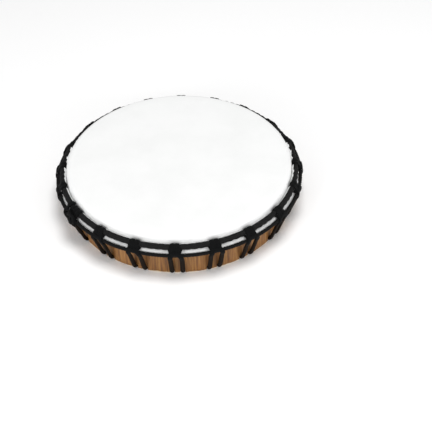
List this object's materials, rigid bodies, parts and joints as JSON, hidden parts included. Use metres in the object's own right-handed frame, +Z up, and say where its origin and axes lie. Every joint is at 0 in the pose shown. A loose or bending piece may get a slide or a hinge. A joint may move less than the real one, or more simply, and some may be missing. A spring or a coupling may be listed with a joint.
{
  "type": "shaman drum",
  "caption": "Round single-headed frame drum with a goat skin head, a rope-wrapped crown ring, rope lacing over a wooden shell and a hand ring behind.",
  "frame": {"origin": "on the floor at the middle of the drum's underside, on the drum's axis", "axes": "+Z up along the drum's axis towards the skin, +X to the right and +Y away from the picture's camera"},
  "size_m": [0.32, 0.3199, 0.0615],
  "materials": {
    "shell_wood": "satin oiled wood with fine upright grain",
    "goat_skin": "matt scraped and bleached skin",
    "ring_wrap": "tight black cord wrapping",
    "black_cord": "thin twisted black cord",
    "black_rope": "braided black rope, slightly brown in the light"
  },
  "bodies": {
    "root": {"shell": "shell_wood", "drumhead": "goat_skin", "crown_ring": "ring_wrap", "tie_cord": "black_cord", "lacing_rope": "black_rope", "hand_ring": "ring_wrap"}
  },
  "joints": []
}
